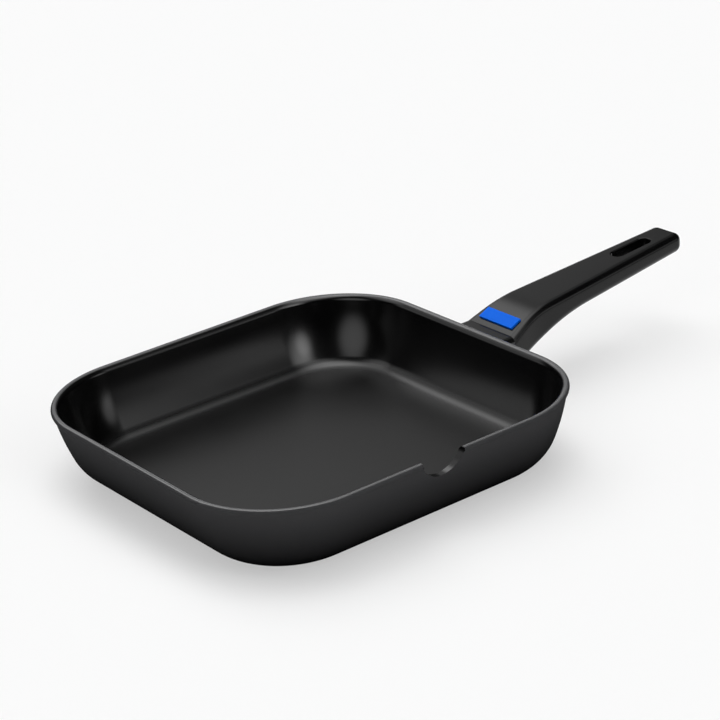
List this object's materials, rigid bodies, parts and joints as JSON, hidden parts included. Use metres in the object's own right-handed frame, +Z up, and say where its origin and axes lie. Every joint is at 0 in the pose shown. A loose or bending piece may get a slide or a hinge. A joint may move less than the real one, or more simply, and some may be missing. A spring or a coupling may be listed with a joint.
{
  "type": "square pan",
  "caption": "Rounded square black pan with a smooth floor, a round pouring notch in one side, and a straight fixed handle with a hanging slot and a plain blue plaque.",
  "frame": {"origin": "middle of the base, on the surface that the pan stands on", "axes": "+X along the handle, +Z up, and the pouring notch in the middle of the -Y side"},
  "size_m": [0.464, 0.28, 0.0714],
  "materials": {
    "coated_aluminium": "satin black non-stick coating over cast aluminium",
    "base_steel": "turned steel",
    "black_phenolic": "fine matt moulding",
    "blue_plastic": "satin",
    "screw_steel": "zinc plated"
  },
  "bodies": {
    "root": {"pan_body": "coated_aluminium", "induction_disc": "base_steel", "handle": "black_phenolic", "handle_badge": "blue_plastic", "handle_screw": "screw_steel", "flat_washer": "screw_steel", "spring_washer": "screw_steel"}
  },
  "joints": []
}
